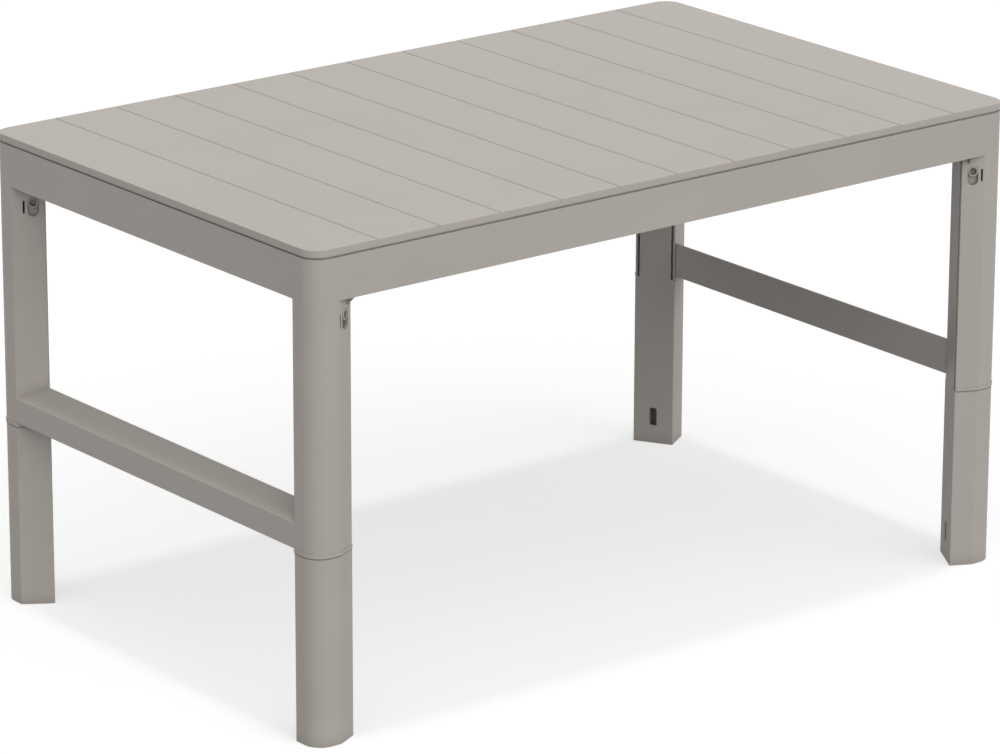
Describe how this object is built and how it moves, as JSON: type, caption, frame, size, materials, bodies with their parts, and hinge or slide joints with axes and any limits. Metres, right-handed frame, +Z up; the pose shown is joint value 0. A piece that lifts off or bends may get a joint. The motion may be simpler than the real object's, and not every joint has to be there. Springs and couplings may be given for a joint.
{
  "type": "convertible garden table",
  "caption": "Rectangular moulded resin garden table with a planked top, end crossbars and push-button leg extensions that raise it from low to dining height.",
  "frame": {"origin": "middle of the footprint, on the floor", "axes": "+X along the table's length, +Y across it, +Z up"},
  "size_m": [1.1618, 0.7128, 0.652],
  "materials": {
    "panel_resin": "fine matt moulded grain",
    "frame_resin": "fine matt moulded grain",
    "leg_resin": "fine matt moulded grain",
    "button_resin": "fine matt moulded grain",
    "steel": "zinc plated"
  },
  "bodies": {
    "table": {"top_panel": "panel_resin", "side_rail_front": "frame_resin", "side_rail_back": "frame_resin", "end_rail_left": "frame_resin", "end_rail_right": "frame_resin", "crossbar_left": "frame_resin", "crossbar_right": "frame_resin", "upper_leg_front_left": "leg_resin", "upper_leg_front_right": "leg_resin", "upper_leg_back_left": "leg_resin", "upper_leg_back_right": "leg_resin", "leg_screws": "steel", "rail_screws": "steel", "crossbar_screws": "steel"},
    "leg_front_left": {"leg_extension_front_left": "leg_resin", "latch_spring_front_left": "steel"},
    "leg_front_right": {"leg_extension_front_right": "leg_resin", "latch_spring_front_right": "steel"},
    "leg_back_left": {"leg_extension_back_left": "leg_resin", "latch_spring_back_left": "steel"},
    "leg_back_right": {"leg_extension_back_right": "leg_resin", "latch_spring_back_right": "steel"},
    "button_end_front_left": {"latch_button_end_front_left": "button_resin"},
    "button_side_front_left": {"latch_button_side_front_left": "button_resin"},
    "button_end_front_right": {"latch_button_end_front_right": "button_resin"},
    "button_side_front_right": {"latch_button_side_front_right": "button_resin"},
    "button_end_back_left": {"latch_button_end_back_left": "button_resin"},
    "button_side_back_left": {"latch_button_side_back_left": "button_resin"},
    "button_end_back_right": {"latch_button_end_back_right": "button_resin"},
    "button_side_back_right": {"latch_button_side_back_right": "button_resin"}
  },
  "joints": [
    {"name": "extension_play_front_left", "type": "slide", "parent": "table", "child": "leg_front_left", "axis": [0, 0, -1], "range_m": [0, 0.0117]},
    {"name": "extension_play_front_right", "type": "slide", "parent": "table", "child": "leg_front_right", "axis": [0, 0, -1], "range_m": [0, 0.0117]},
    {"name": "extension_play_back_left", "type": "slide", "parent": "table", "child": "leg_back_left", "axis": [0, 0, -1], "range_m": [0, 0.0117]},
    {"name": "extension_play_back_right", "type": "slide", "parent": "table", "child": "leg_back_right", "axis": [0, 0, -1], "range_m": [0, 0.0117]},
    {"name": "press_end_front_left", "type": "slide", "parent": "leg_front_left", "child": "button_end_front_left", "axis": [0.5071, -0.8619, 0], "range_m": [0, 0.0052], "stiffness_N_per_m": 1500, "springref_m": -0.003, "deforming": ["latch_spring_front_left"]},
    {"name": "press_side_front_left", "type": "slide", "parent": "leg_front_left", "child": "button_side_front_left", "axis": [-0.5071, 0.8619, 0], "range_m": [0, 0.0052], "stiffness_N_per_m": 1500, "springref_m": -0.003, "deforming": ["latch_spring_front_left"]},
    {"name": "press_end_front_right", "type": "slide", "parent": "leg_front_right", "child": "button_end_front_right", "axis": [-0.5071, -0.8619, 0], "range_m": [0, 0.0052], "stiffness_N_per_m": 1500, "springref_m": -0.003, "deforming": ["latch_spring_front_right"]},
    {"name": "press_side_front_right", "type": "slide", "parent": "leg_front_right", "child": "button_side_front_right", "axis": [0.5071, 0.8619, 0], "range_m": [0, 0.0052], "stiffness_N_per_m": 1500, "springref_m": -0.003, "deforming": ["latch_spring_front_right"]},
    {"name": "press_end_back_left", "type": "slide", "parent": "leg_back_left", "child": "button_end_back_left", "axis": [0.5071, 0.8619, 0], "range_m": [0, 0.0052], "stiffness_N_per_m": 1500, "springref_m": -0.003, "deforming": ["latch_spring_back_left"]},
    {"name": "press_side_back_left", "type": "slide", "parent": "leg_back_left", "child": "button_side_back_left", "axis": [-0.5071, -0.8619, 0], "range_m": [0, 0.0052], "stiffness_N_per_m": 1500, "springref_m": -0.003, "deforming": ["latch_spring_back_left"]},
    {"name": "press_end_back_right", "type": "slide", "parent": "leg_back_right", "child": "button_end_back_right", "axis": [-0.5071, 0.8619, 0], "range_m": [0, 0.0052], "stiffness_N_per_m": 1500, "springref_m": -0.003, "deforming": ["latch_spring_back_right"]},
    {"name": "press_side_back_right", "type": "slide", "parent": "leg_back_right", "child": "button_side_back_right", "axis": [0.5071, -0.8619, 0], "range_m": [0, 0.0052], "stiffness_N_per_m": 1500, "springref_m": -0.003, "deforming": ["latch_spring_back_right"]}
  ]
}
